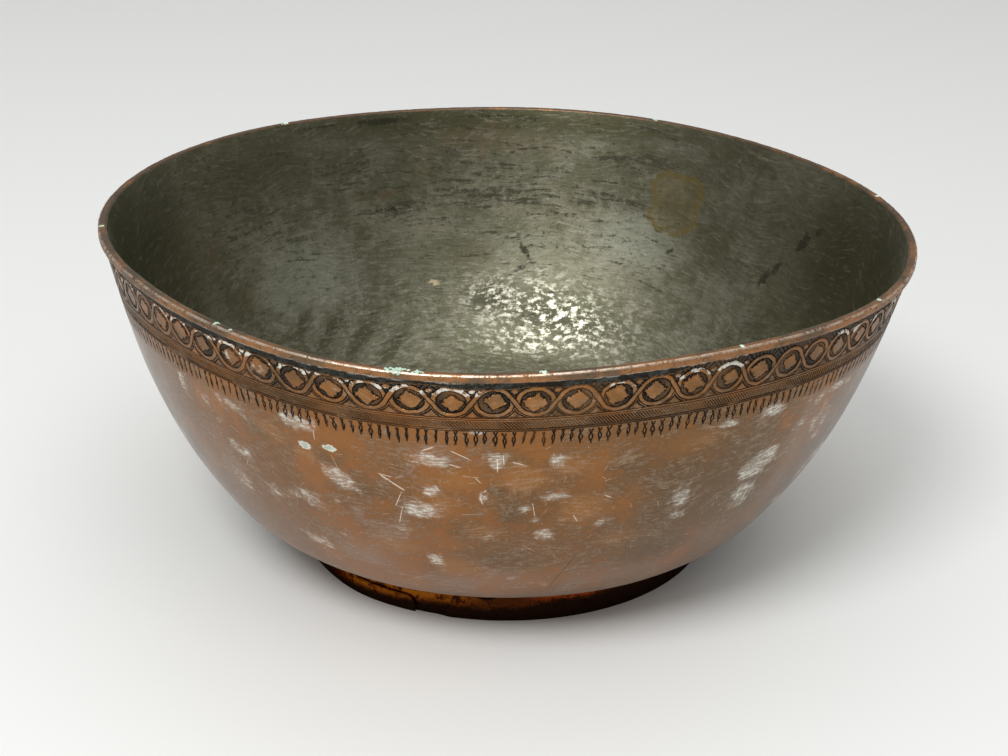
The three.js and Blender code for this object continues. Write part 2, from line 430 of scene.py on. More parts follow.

# The outside's wear, as marks: where the copper is dull and dark, warm and orange, or pale and pink,
# where fingers never rub and a grey film has settled, on both flanks and over the back, with a painted
# sheen over it that stands for the floor's light seen at a grazing angle, and the scuffs, of which the
# last ones are drawn at random for the sides and the back
wear = {
    "dull": [
        (302, 52, 34, 30, 0.95), (289, 37, 13, 8, 0.7), (270, 41.5, 4, 3.4, 0.8), (272, 52, 5, 7, 0.75),
        (276, 49, 12, 8, 0.5), (270, 75, 14, 8, 0.5), (263, 60, 10, 6, 0.5), (247, 36, 7, 4, 0.6, -20),
        (236, 34, 6, 5, 0.5, -30), (253, 47, 7, 4, 0.5), (306, 30, 10, 5, 0.6), (30, 45, 40, 25, 0.8),
        (140, 60, 30, 25, 0.7), (297, 76, 16, 11, 0.95), (310, 66, 8, 8, 0.6)],
    "warm": [
        (275, 6, 80, 7, 0.75), (265, 38, 7, 5, 0.9), (273, 36.5, 8, 5, 1.0), (281.5, 50.5, 9, 7, 0.8),
        (264, 83, 8, 6, 0.8, -20), (255, 72, 9, 5, 0.8), (262, 49, 7, 6, 0.7), (268, 60, 9, 5, 0.5),
        (272, 96, 10, 6, 0.5), (243.5, 37, 4, 5, 0.8), (296, 30, 14, 6, 0.6), (280, 32, 12, 5, 0.6),
        (288, 67, 9, 5, 0.5), (238, 31, 6, 4, 0.6, -20), (70, 55, 30, 20, 0.6), (180, 50, 25, 20, 0.5),
        (350, 60, 20, 15, 0.5)],
    # The tall pale marks on both flanks and those low at the front are partly painted reflection of the
    # floor, as the copper shows it at a grazing angle
    "pale": [
        (256, 66, 13, 14, 0.5), (249, 82, 14, 10, 0.7, -20), (268, 92, 24, 9, 0.7), (290, 92, 26, 9, 0.7),
        (262, 27, 10, 4, 0.5), (250, 60, 6, 8, 0.4), (225, 55, 10, 25, 0.6), (318, 45, 8, 30, 0.7),
        (305, 80, 20, 9, 0.35), (110, 80, 40, 15, 0.6), (200, 75, 30, 15, 0.6), (10, 80, 40, 15, 0.6)],
    # Grey film with a painted sheen: greyer and paler where the flanks turn away, as the floor's light
    # reflects there at a grazing angle
    "haze_and_painted_sheen": [
        (195, 60, 42, 60, 1.15), (345, 60, 42, 60, 1.15), (12, 50, 24, 30, 0.6), (125, 60, 30, 30, 0.7),
        (185, 70, 20, 20, 0.5)],
    "scuffed": [
        (220, 29, 2.5, 5, 0.7), (225, 30, 5, 2.5, 0.5, -20), (231, 27.5, 6.5, 2.5, 0.8, -10),
        (228, 37, 3.5, 2.5, 0.5, -15), (230.5, 46, 6, 4, 0.75, -20), (219.5, 60, 6, 3.5, 0.4, -20),
        (228, 62.5, 5.5, 6, 0.6, -20), (232.5, 53, 6, 3.5, 0.4, -15), (235.5, 60.5, 5, 3, 0.6, -10),
        (248.3, 44, 6, 3.4, 1, -40), (241.5, 58, 6, 4.5, 0.8, -20), (246.5, 54, 2.5, 2, 0.5),
        (243, 24, 6, 3.0, 0.95), (239, 82.5, 6, 4.5, 0.7, -25), (245.5, 72.5, 2.5, 2.5, 0.5),
        (240.5, 90.5, 4.5, 3.5, 0.4), (250, 63.5, 1.6, 1.5, 0.5), (251, 28, 4, 3, 0.5),
        (261, 30, 6, 2.6, 1), (269.7, 29.5, 4, 3, 0.95), (277.5, 29.5, 3.4, 2.8, 0.85),
        (261, 43, 2.5, 2.6, 0.8), (259.5, 52, 5.6, 3.8, 1), (256.5, 63, 2.8, 3, 0.5),
        (257, 51, 3, 4.6, 0.5), (268, 44, 1.3, 2.2, 0.9), (274, 50, 2.5, 2.3, 0.75),
        (275, 55.3, 2.2, 1.9, 0.7), (276.8, 62.5, 3.8, 3, 0.8, -5), (269, 62.5, 3.6, 3.6, 0.45),
        (278, 44.3, 5.8, 2.2, 0.65, 3), (285, 46, 1.6, 1.3, 0.5), (285, 58, 3.3, 3.3, 0.6, -20),
        (288, 64, 3, 2.4, 0.6), (281.5, 59, 2.8, 2.4, 0.4), (260.5, 78.5, 2.8, 4.4, 0.9, 30),
        (255.7, 94.5, 4.6, 4.4, 0.5), (272.5, 88, 1.9, 1.8, 0.6), (268, 77.5, 3, 2.5, 0.5),
        (296.6, 51.7, 4, 6.8, 0.8, 10), (297.3, 61, 2.8, 2.3, 0.8), (310, 47, 7.5, 5.2, 1.2, 25),
        (309.6, 59.7, 4.6, 6.6, 1.0, 15), (311.7, 42, 3.5, 2, 0.7, 20), (315.7, 43, 2.8, 3.8, 0.5, 20),
        (309, 24.6, 5.4, 2.2, 1.1), (301.3, 25.4, 3.7, 1.4, 1.1), (317, 34.5, 4.3, 3.4, 0.5, 10),
        (319.4, 27, 5, 4.4, 0.6), (323.8, 26.2, 6.7, 1.8, 0.9), (288, 46, 4.5, 2, 0.35),
        (291.7, 47.8, 2.7, 2.5, 0.3), (306.6, 93, 3.3, 2.6, 0.35), (233.5, 6.8, 1.6, 1.4, 0.9),
        (238.3, 8.7, 2.6, 2.6, 0.9), (248.8, 5.2, 1.3, 1.1, 0.7), (267.2, 18.4, 2.6, 0.8, 1)]}
dice = random.Random(5)
wear["scuffed"] += [(dice.uniform(325, 575), dice.uniform(24, 105), dice.uniform(2, 6), dice.uniform(1.5, 5),
                     dice.uniform(0.4, 1.0), dice.uniform(-30, 30)) for _ in range(60)]


def worn_copper(tree, place, down):
    """The outside's colour, roughness and height, before any engraving, dust or scuff, and the
    rubbed grain and the fine noise that these also follow."""
    broad = noise(place, 0.020, roughness=0.6)
    cloud = noise(place, 0.085, detail=4.0, roughness=0.65)
    strokes = brushed(place, down, 0.22, 1.7, sway=26.0)
    hair = brushed(moved(place, (43.0, 71.0, 19.0)), down, 0.36, 2.8, detail=4.0, sway=75.0)
    fine = noise(place, 1.2, roughness=0.75)
    ragged = (cloud - 0.5) * 1.3 + (strokes - 0.5) * 0.7
    grain = strokes.over(0.50, 0.58).most(hair.over(0.54, 0.62)) * (0.40 + fine.over(0.42, 0.54) * 0.60)
    rub = grain * cloud.over(0.40, 0.60)
    haze_and_painted_sheen = kept(tree, "haze_and_painted_sheen")
    colour = coated(
        warm_copper,
        ((broad * 0.6 + cloud * 0.5 + (strokes - 0.5) * 0.3).over(0.46, 0.62), brown_copper),
        ((kept(tree, "dull") + ragged).over(0.15, 0.85) * 0.95, olive_copper),
        ((kept(tree, "warm") + ragged).over(0.20, 0.90) * 0.85, orange_copper),
        # Pale and pink: partly painted floor reflection on the flanks and low at the front
        ((kept(tree, "pale") + ragged).over(0.20, 0.95) * 0.70, pink_copper),
        ((cloud * 0.35 + fine * 0.30 + strokes * 0.40).over(0.50, 0.66) * 0.30, grey_copper),
        (rub * 0.26, rubbed_copper),
        (fine.over(0.60, 0.74) * 0.30, pricked_copper),
        # Painted sheen on the flanks and over the back, over a real grey film. The last coat below adds
        # painted bright strokes there.
        ((haze_and_painted_sheen + ragged * 0.35).over(0.10, 0.80) * 0.90, haze_and_sheen_grey),
        ((fine * 0.6 + hair * 0.5).under(0.38, 0.50) * 0.30, olive_copper),
        (hair.over(0.55, 0.64) * haze_and_painted_sheen.over(0.1, 0.9) * 0.35, haze_and_sheen_bright))
    roughness = 0.42 + (cloud - 0.5) * 0.20 + rub * 0.06
    height = strokes * 0.012 + hair * 0.008 + fine * 0.012
    return colour, roughness, height, grain, fine


def chalk(colour, roughness, metal, place, cover, grain):
    """A finish with lime and dried polish on it in ragged brushed patches, and how much of it there
    is. It lies in the grain of short strokes, and the metal shows between them."""
    blotch = noise(place, 0.24, roughness=0.6)
    patch = (cover + (blotch - 0.5) * 1.3).over(0.28, 0.82)
    white = patch * (0.04 + patch * 0.22 + grain * 0.74)
    return coated(colour, (white * 0.96, chalk_white)), roughness + white * 0.3, metal - white * 0.8, white


def scratches(tree, turn, down, cell, length, half, lean, seed):
    """Lone scratches, one in each cell of the wall: 1 on a scratch. A cell is its width in degrees
    and its height, and lean is how far a scratch may turn out of level, in radians either way."""
    column = (turn / cell[0]).maths("FLOOR")
    line = (down / cell[1]).maths("FLOOR")
    number = vector(tree, column % (360 / cell[0]), line, seed)
    drawn = number.through("ShaderNodeTexWhiteNoise", {}, {"noise_dimensions": "3D"}, "Color")
    first, second, third = drawn.parts()
    other = number.through("ShaderNodeTexWhiteNoise", {"W": seed}, {"noise_dimensions": "4D"})
    x = (turn / cell[0] - column - 0.35 - first * 0.3) * (cell[0] * math.radians(band_radius))
    y = (down / cell[1] - line - 0.35 - second * 0.3) * cell[1]
    tilt = (third - 0.5) * (2 * lean)
    c, s = cosine(tilt), tilt.maths("SINE")
    past = (abs(x * c + y * s) - other * other * length).most(0.0)
    off = ((y * c - x * s) ** 2.0 + past ** 2.0) ** 0.5
    return off.under(half * 0.3, half) * (first > 0.45)


# Long scratches, each from an angle and distance down to another, with its half width
long_scratches = [
    (254.3, 38.4, 257.5, 44.1, 0.42), (254.0, 38.0, 256.0, 38.8, 0.22), (257.0, 44.7, 255.8, 51.7, 0.20),
    (256.8, 51.6, 255.9, 59.7, 0.18), (260.2, 26.6, 261.9, 24.6, 0.30), (263.6, 31.1, 265.2, 32.4, 0.22),
    (263.9, 25.7, 266.4, 29.0, 0.22), (271.7, 29.8, 273.5, 31.2, 0.26), (284.5, 45.7, 285.8, 47.4, 0.24),
    (280.6, 53.5, 281.4, 56.9, 0.20), (274.7, 47.1, 275.2, 53.3, 0.16), (270.5, 26.2, 270.7, 31.1, 0.22),
    (269.8, 28.1, 269.9, 34.1, 0.22), (267.6, 44.2, 268.0, 47.8, 0.30), (268.1, 42.6, 268.5, 41.4, 0.40),
    (260.0, 42.4, 261.9, 42.8, 0.26), (245.6, 25.7, 245.5, 29.7, 0.18), (267.0, 36.2, 267.8, 38.7, 0.16)]
dark_scratches = [
    (279.4, 97.0, 280.9, 85.0, 0.34), (280.9, 85.0, 282.4, 75.0, 0.24), (259.8, 41.9, 260.6, 42.3, 0.40)]
green_spots = [(243.7, 33.0, 2.3, 1.7), (247.6, 31.4, 2.5, 1.5)]   # angle, distance down, half sizes


def unrolled(turn, down, angle, low):
    """Millimetres round and down the wall from a place on it."""
    return (turn - angle) * math.radians(line_at(low).x), down - low


def scored(turn, down, lines):
    """1 on any of the long scratches."""
    found = []
    for start, top, end, low, half in lines:
        x, y = unrolled(turn, down, start, top)
        run = Vector((math.radians(end - start) * line_at(top).x, low - top))
        way = run.normalized()
        along = x * way.x + y * way.y
        line = abs(x * way.y - y * way.x).under(half * 0.3, half) * along.over(-0.3, 0.8)
        found.append(line * along.under(run.length - 1.0, run.length + 0.3))
    return reduce(Wire.most, found)


def wall_finish():
    material, tree, shader, place = new_finish("worn_copper")
    turn, down = kept(tree, "round"), kept(tree, "down")
    colour, roughness, height, grain, fine = worn_copper(tree, place, down)
    broad = noise(place, 0.035, detail=2.0)
    cover = kept(tree, "scuffed").most(broad.over(0.58, 0.80) * 0.55)
    colour, roughness, metal, white = chalk(colour, roughness, 1 - cover * 0.1, place, cover, grain)

    lone = scratches(tree, turn, down, (9.0, 15.0), 4.0, 0.14, 1.4, 3.0)
    small = scratches(tree, turn, down, (2.5, 4.5), 1.5, 0.12, 1.5, 11.0)
    cut = (lone * 0.6).most(small * 0.45).most(scored(turn, down, long_scratches)) * fine.over(0.30, 0.48)
    nicked = scored(turn, down + (broad - 0.5) * 2.0, dark_scratches) * fine.over(0.34, 0.56)
    colour = coated(colour, (cut * 0.78, cut_copper), (nicked * 0.75, nick_black))

    for angle, low, half_width, half_height in green_spots:
        x, y = unrolled(turn, down, angle, low)
        away = ((x / half_width) ** 2.0 + (y / half_height) ** 2.0) ** 0.5 + (fine - 0.5) * 0.7
        away = away + (noise(place, 0.8, roughness=0.7) - 0.5) * 1.5
        spot = away.under(0.78, 1.02)
        mould = coated(spot_green, (fine.under(0.34, 0.50) * 0.8, spot_dark),
                       (away.over(0.45, 0.75), spot_edge))
        colour = coated(colour, (spot * 0.95, mould))
        metal = metal * (1 - spot)
        height = height + spot * 0.12
    shader.inputs["Sheen Weight"].default_value = 0.12
    shader.inputs["Sheen Roughness"].default_value = 0.4
    shader.inputs["Sheen Tint"].default_value = (1.0, 0.95, 0.92, 1)
    dress(tree, shader, colour, roughness, metal, height + white * 0.01 - cut * 0.02)
    return material


belly_wall = grown("belly_wall", spun_tree("belly_wall", sheet_line, wall_finish()), {
    "Rows": 150, "Back rows": 30, "Crowding": 1.25,
    "From": border_foot, "To": wall_length, "Thickness": sheet})
mark(belly_wall, wear)
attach(belly_wall, "root")
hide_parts("bowl_body")

# Scroll frieze: the engraved band under the rim. The ground was sunk with a graver and chasing
# punches, which leaves a ribbon that winds over and under through a row of rings, with a
# four-pointed leaf in each ring, and dark corners under the lip.
roundels = 72
first_roundel = 209.0        # degrees to the middle of a ring that the long strand passes over
pitch = math.tau * band_radius / roundels
frieze_middle = 7.35         # distance down to the middle of the rings
recess_height = 0.6          # dark sunk edge under the rim, at its narrowest
recess_play = 2.3            # how much wider it gets in places
frieze_foot = 12.85
ring_radius = 5.2            # of the ribbon's centre line
ring_squash = 1.09           # the rings are a little wider than tall
ribbon_half = 0.80
ribbon_turn = math.acos(ring_radius / (pitch / 2))   # where the long strand leaves the ring
graver = 0.22                # half width of an engraved line
leaf_reach = 3.75            # of the leaf in a ring, from its middle to a point
leaf_bow = 1.08              # 1 gives it straight sides, and more bows them out
rays_round = 33.0            # strokes of the hatching round each ring's ground
widest_sunk = 235.0          # degrees to where the dark sunk edge is widest
first_line = 13.0            # distance down to the line below the roundels


def hand(place):
    """How far the engraver's hand wandered at a place: a slow drift and a small shake."""
    drift = noise(place, 0.030, detail=1.0, output=1).parts()
    swing = noise(place, 0.13, detail=1.0, output=1).parts()
    shake = noise(place, 0.50, detail=2.0, output=1).parts()
    return [(d - 0.5) * 1.2 + (w - 0.5) * 0.9 + (s - 0.5) * 0.75 for d, w, s in zip(drift, swing, shake)]


def draws(number):
    """Three numbers drawn at random for a whole number."""
    drawn = Wire.make(number.socket.id_data, "ShaderNodeTexWhiteNoise", {"W": number}, {
        "noise_dimensions": "1D"}, "Color")
    return drawn.parts()


def cut_line(away, half=graver):
    """1 on a line of the graver, by how far a place is from its middle."""
    return abs(away).under(half * 0.55, half * 1.3)


def frieze_cuts(turn, down, place):
    """What the graver left in the frieze, each from 0 to 1: lines, sunk ground, the hatching in it,
    the ribbons' upper edges, and the sunk edge under the rim."""
    drift_x, drift_y, _ = hand(place)
    slow = cosine((turn - 330.0) * math.radians(1)) * 0.5
    count = (turn - slow - first_roundel) / (360 / roundels) + 0.5 + drift_x * (1 / pitch)
    number = count.maths("FLOOR")
    x = (count - number - 0.5) * pitch
    rise = (frieze_middle - down + drift_y * 0.55) * ring_squash
    over = 1 - (number % 2.0) * 2.0
    y = rise * over
    first, second, third = draws(number % float(roundels))

    # Distances from the long strand, which is a ring's upper half and slants down to its
    # neighbours, and from the ring
    c, s = math.cos(ribbon_turn), math.sin(ribbon_turn)
    side = abs(x)
    reach = (x * x + y * y) ** 0.5
    slant = side * c + y * s - ring_radius
    off_ring = reach - ring_radius
    leaves = (side * s - y * c) > 0.0
    strand = abs(off_ring + (slant - off_ring) * leaves)
    ring = abs(off_ring)
    hidden = strand.under(ribbon_half, ribbon_half + 0.1)
    edges = cut_line(strand - ribbon_half).most(cut_line(ring - ribbon_half) * (1 - hidden))

    # The leaf in the ring, a little turned and off its middle, each in its own way. The ground
    # beside it is cut deepest to one side.
    lean = (first - 0.5) * 0.7
    turn_x, turn_y = cosine(lean), lean.maths("SINE")
    ragged = noise(place, 0.90, roughness=0.65) - 0.5
    sx, sy = x + (second - 0.5) * 1.5, y + (third - 0.5) * 1.1
    size = leaf_reach * (0.92 + first * 0.20)
    field = (abs(sx * turn_x + sy * turn_y) / size) ** leaf_bow
    field = field + (abs(sy * turn_x - sx * turn_y) / size) ** leaf_bow + ragged
    star = field.under(0.97, 1.03)
    inside = off_ring.under(-ribbon_half - 0.1, -ribbon_half + 0.1)
    deep_way = first * math.tau
    deep = ((x * cosine(deep_way) + y * deep_way.maths("SINE")) / ring_radius).over(-0.75, 0.55)
    well = inside * (1 - star) * (0.60 + deep * 0.40)
    lines = edges.most(cut_line((field - 1.0) * 2.6, 0.26) * inside)
    rays = (y.maths("ARCTAN2", x) * rays_round + drift_x * 5.0).maths("SINE").over(-0.5, 0.6)

    # The corners between rings: dark under the lip, with a small light leaf left in some, and cut
    # less evenly below, with a stroke that follows the ring
    corner = ring.over(ribbon_half, ribbon_half + 0.15) * (off_ring > 0.0)
    corner = corner * strand.over(ribbon_half, ribbon_half + 0.15)
    upper = rise.over(-0.6, 0.6)
    leaf = ((side - pitch * 0.5) / 0.9) ** 2.0 + ((rise - 4.4) / 0.8) ** 2.0 + ragged * 1.5
    leaf = leaf.under(0.7, 1.3) * noise(place, 0.09, detail=1.0).over(0.44, 0.54)
    stroke = cut_line(off_ring - ribbon_half - 0.75, 0.26) * (1 - upper)
    lower = (1 - upper) * noise(place, 0.3, detail=1.0).over(0.40, 0.60) * 0.6
    dark_corner = corner * (upper * (1 - leaf) + lower)

    play = recess_play * (0.6 + cosine((turn - widest_sunk) * math.radians(1)) * 0.4)
    drop = recess_height + noise(place, 0.028, detail=2.0).over(0.40, 0.62) * play + ragged * 1.6
    within = (down - drop).over(-0.05, 0.2) * down.under(frieze_foot - 0.15, frieze_foot + 0.1)
    ground = well.most(dark_corner) * within
    lines = lines.most(stroke * corner) * within
    rule = cut_line(down - first_line - drift_y * 0.12)
    recess = (down - drop).under(-0.3, 0.15)
    crown = (abs(off_ring - 0.1).under(0.55, 0.85) * rise.over(1.6, 3.4)).most(leaf * corner) * within
    return lines.most(rule * 0.85), ground, rays, crown, recess


def frieze_relief(turn, down, place):
    lines, ground, rays, _, recess = frieze_cuts(turn, down, place)
    return lines * 0.22 + ground * (0.24 + rays * 0.06) + recess * 0.30


cut_black = (0.010, 0.009, 0.007)
ground_brown = (0.075, 0.056, 0.040)
recess_blue = (0.013, 0.017, 0.017)
recess_grey = (0.060, 0.070, 0.062)


def frieze_finish():
    material, tree, shader, place = new_finish("engraved_copper")
    turn, down = kept(tree, "round"), kept(tree, "down")
    lines, ground, rays, crown, recess = frieze_cuts(turn, down, place)
    colour, roughness, height, grain, fine = worn_copper(tree, place, down)
    worn = noise(place, 0.05, detail=2.0).over(0.34, 0.54)
    deep = ground * (0.78 + worn * 0.21)
    smoky = (noise(place, 0.25) * 0.6 + fine * 0.5).over(0.50, 0.68)
    colour = coated(
        colour,
        (noise(place, 0.16).over(0.40, 0.66) * 0.55, olive_copper),
        (deep, coated(ground_brown, ((rays * 0.7 + fine * 0.4).over(0.30, 0.75), cut_black))),
        (recess * 0.95, coated(recess_blue, (smoky, recess_grey))),
        (lines * (0.70 + worn * 0.28), cut_black))
    settled = (noise(place, 0.070, detail=2.0) + kept(tree, "limed") * 0.10).over(0.48, 0.60)
    patchy = noise(place, 0.45, detail=4.0, roughness=0.7).over(0.43, 0.57)
    dust = (crown * settled * 1.2).most(kept(tree, "scuffed")) * patchy
    colour, roughness, metal, _ = chalk(colour, roughness, 1 - deep * 0.1, place, dust, grain.most(crown))
    lip_line = abs(down - 0.5).under(0.1, 0.5) * settled * patchy
    colour = coated(colour, (lip_line * 0.60, chalk_white))
    dress(tree, shader, colour, roughness + deep * 0.2 + recess * 0.15, metal, height)
    return material


frieze_tree = spun_tree("scroll_frieze", sheet_line, frieze_finish(), frieze_relief)
scroll_frieze = grown("scroll_frieze", frieze_tree, {
    "Columns": 2304, "Rows": 39, "From": -0.8, "To": frieze_height, "Thickness": sheet})
limed_places = [(255, 3.5, 50, 9, 1.0), (80, 3.5, 40, 9, 1.0), (165, 3.5, 30, 9, 1.0)]
mark(scroll_frieze, {**wear, "limed": limed_places})
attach(scroll_frieze, "root")
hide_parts("bowl_body")

# Border: the rest of the engraving. Two pairs of lines hold a fillet that is hatched like a rope,
# and below them hangs a row of ticks, each two strokes of the graver that cross.
rules = ((13.7, 0.8), (17.2, 0.9), (17.85, 0.8))    # distance down and strength
fillet = (14.15, 16.75)
hatches = 885                # strokes round the fillet
hatch_pitch = math.tau * band_radius / hatches
ticks = 300
tick_pitch = math.tau * band_radius / ticks
tick_top, tick_length = 18.2, 5.2
tick_swing = 0.54            # how far a tick's two strokes part


def border_cuts(turn, down, place):
    """What the graver left in the border, from 0 to 1: the lines and the fillet's ground."""
    drift_x, drift_y, _ = hand(place)
    level = down + drift_y * 0.22
    ruled = reduce(Wire.most, [cut_line(level - low, 0.18) * strength for low, strength in rules])
    round_mm = turn * math.radians(band_radius) + drift_x * 0.8
    lean = ((round_mm - level * 0.9) / hatch_pitch).maths("FRACT")
    in_fillet = level.over(fillet[0], fillet[0] + 0.25) * level.under(fillet[1] - 0.15, fillet[1] + 0.15)
    force = noise(place, 0.07, detail=2.0).over(0.36, 0.62)
    hatch = abs(lean - 0.5).under(0.12, 0.32) * in_fillet * (0.50 + force * 0.50)
    dots = abs(lean - 0.5).under(0.2, 0.42) * abs(level - fillet[1]).under(0.12, 0.38) * force

    count = (round_mm + drift_x * 0.35) / tick_pitch
    number = count.maths("FLOOR")
    first, second, third = draws(number % float(ticks))
    x = (count - number - 0.5) * tick_pitch + (first - 0.5) * 0.6
    t = (down - tick_top + (second - 0.5) * 0.8) / (tick_length * (0.86 + third * 0.26))
    x = x + (t - 0.5) * (second - 0.5) * 1.1
    twist = 0.50 + noise(place, 0.022, detail=1.0).over(0.36, 0.50) * 0.50
    curl = abs(cosine((t * (math.pi * 1.8)).maths("MINIMUM", math.pi * 1.5)))
    swing = curl * tick_swing * (0.6 + third * 0.5) * twist
    shaft = abs(abs(x) - swing).under(0.16, 0.33) * t.over(-0.03, 0.03) * t.under(0.95, 1.05)
    blots = [(abs(x) + abs(t - at) * 3.0).under(half, half + 0.20)
             for at, half in ((0.80, 0.30), (0.28, 0.26))]
    worn = noise(place, 0.06, detail=2.0).over(0.26, 0.42)
    tick = reduce(Wire.most, blots, shaft) * (0.60 + worn * 0.40)
    return reduce(Wire.most, (ruled, hatch, dots, tick)), in_fillet


def border_relief(turn, down, place):
    strokes, in_fillet = border_cuts(turn, down, place)
    return strokes * 0.26 + in_fillet * 0.05


def border_finish():
    material, tree, shader, place = new_finish("lined_copper")
    turn, down = kept(tree, "round"), kept(tree, "down")
    strokes, in_fillet = border_cuts(turn, down, place)
    colour, roughness, height, grain, _ = worn_copper(tree, place, down)
    colour = coated(colour, (in_fillet * 0.35, olive_copper))
    metal = 1 - strokes * 0.1
    colour, roughness, metal, _ = chalk(colour, roughness, metal, place, kept(tree, "scuffed"), grain)
    colour = coated(colour, (strokes * 0.95, cut_black))
    dress(tree, shader, colour, roughness + strokes * 0.2, metal, height)
    return material


border_tree = spun_tree("engraved_border", sheet_line, border_finish(), border_relief)
engraved_border = grown("engraved_border", border_tree, {
    "Columns": 2700, "Rows": 34, "From": frieze_height, "To": border_foot, "Thickness": sheet})
mark(engraved_border, wear)
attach(engraved_border, "root")
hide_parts("bowl_body")

# Rim: the sheet's edge, thickened with the hammer and turned out over the wall. Its crest is
# polished by handling, with a painted highlight along it that is strongest at the front, and lime has settled
# along its lower corner.
rim_width = 2.95
rim_sunk = 0.09              # how far the rim's skin lies inside this section, so as to stay in the solid
rim_round = 0.95             # radius of its corners
rim_soft = rim_round * 0.45  # how far a corner's handles stay from the corner itself
rim_out, rim_in = rim_radius, rim_radius - rim_width
rim_low, rim_top = body_height - rim_height, body_height


def straight(a, b):
    """A straight line, as a curve segment."""
    return (a, a.lerp(b, 1 / 3), a.lerp(b, 2 / 3), b)


def rounded_section(left, right, low, top, radius, soft):
    """A rectangle with round corners, as a closed chain of segments: the upper right corner first,
    then down the right side and on round."""
    corners = [Vector((right, top)), Vector((right, low)), Vector((left, low)), Vector((left, top))]
    chain = []
    for i, here in enumerate(corners):
        following = corners[(i + 1) % 4]
        before = (corners[i - 1] - here).normalized()
        after = (following - here).normalized()
        ways = (before * radius, before * soft, after * soft, after * radius)
        chain.append(tuple(here + way for way in ways))
        chain.append(straight(here + after * radius, following - after * radius))
    return chain


rim_line = rounded_section(rim_in, rim_out, rim_low, rim_top, rim_round, rim_soft)
crest_at = line_length(rim_line[:1]) / 2         # along the section, the middle of the upper outer corner
lip_at = line_length(rim_line[:2]) + crest_at    # and of the lower one

dull_rim = (0.175, 0.112, 0.068)
warm_rim = (0.350, 0.170, 0.075)
dark_rim = (0.060, 0.042, 0.028)
lime_grey = (0.52, 0.53, 0.47)


def rim_finish():
    material, tree, shader, place = new_finish("rim_copper")
    down = kept(tree, "down")
    x, y, _ = place.parts()
    patch = noise(place, 0.060, roughness=0.6)
    mottle = noise(place, 0.35, detail=4.0, roughness=0.7)
    fine = noise(place, 1.3, roughness=0.75)
    # Warmer and lighter in broad patches, more of them towards the front and the right
    warmer_to_front_right = patch + (mottle - 0.5) * 0.3 + x * 0.0003 - y * 0.0006
    crest = abs(down - crest_at).under(0.20, 0.75)
    # Painted highlight on the polished crest: bright bare copper, stronger towards the front
    polish_and_painted_glint = crest * (mottle * 0.6 + fine * 0.5 - y * 0.0004).over(0.50, 0.64)
    limed = abs(down - lip_at).under(0.10, 0.50) * (patch * 0.5 + mottle * 0.6).over(0.52, 0.62)
    colour = coated(
        dull_rim,
        (warmer_to_front_right.over(0.48, 0.60), warm_rim),
        ((mottle * 0.6 + fine * 0.5).over(0.54, 0.70) * 0.75, dark_rim),
        (polish_and_painted_glint * 0.80, bare_copper),
        (limed * 0.70, lime_grey))
    roughness = 0.46 - polish_and_painted_glint * 0.18 + limed * 0.3 + (fine - 0.5) * 0.15
    dress(tree, shader, colour, roughness, 1 - limed * 0.7, mottle * 0.08 + fine * 0.02)
    return material


def rim_relief(turn, down, place):
    nicks = noise(place, 0.16, roughness=0.7)
    return nicks.over(0.40, 0.75) * 0.14 + nicks.over(0.66, 0.80) * 0.22


rim_tree = spun_tree("turned_rim", rim_line, rim_finish(), rim_relief, closed=True)
turned_rim = grown("turned_rim", rim_tree, {"Columns": 1440, "To": line_length(rim_line), "Depth": rim_sunk})
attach(turned_rim, "root")
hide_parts("bowl_body")

# Tin coat: wiped over the whole inside while molten, so that food never touches the copper. It
# has dulled to a grey green, with the wiping and scouring still in it, and worn thin in places.
tin_gap = 0.3
tin_thickness = 0.4
tin_edge = -1.855            # how far above the rim's underside its edge lies, along the wall
pale_tin = (0.224, 0.213, 0.152)
green_tin = (0.142, 0.139, 0.090)
blue_tin = (0.325, 0.328, 0.262)
dark_tin = (0.036, 0.034, 0.020)
olive_tin = (0.088, 0.084, 0.044)
brown_tin = (0.165, 0.118, 0.066)
rust_stain = (0.150, 0.108, 0.028)
silver_tin = (0.62, 0.61, 0.54)
scale_tin = (0.060, 0.060, 0.038)
gilt = (0.74, 0.60, 0.38)


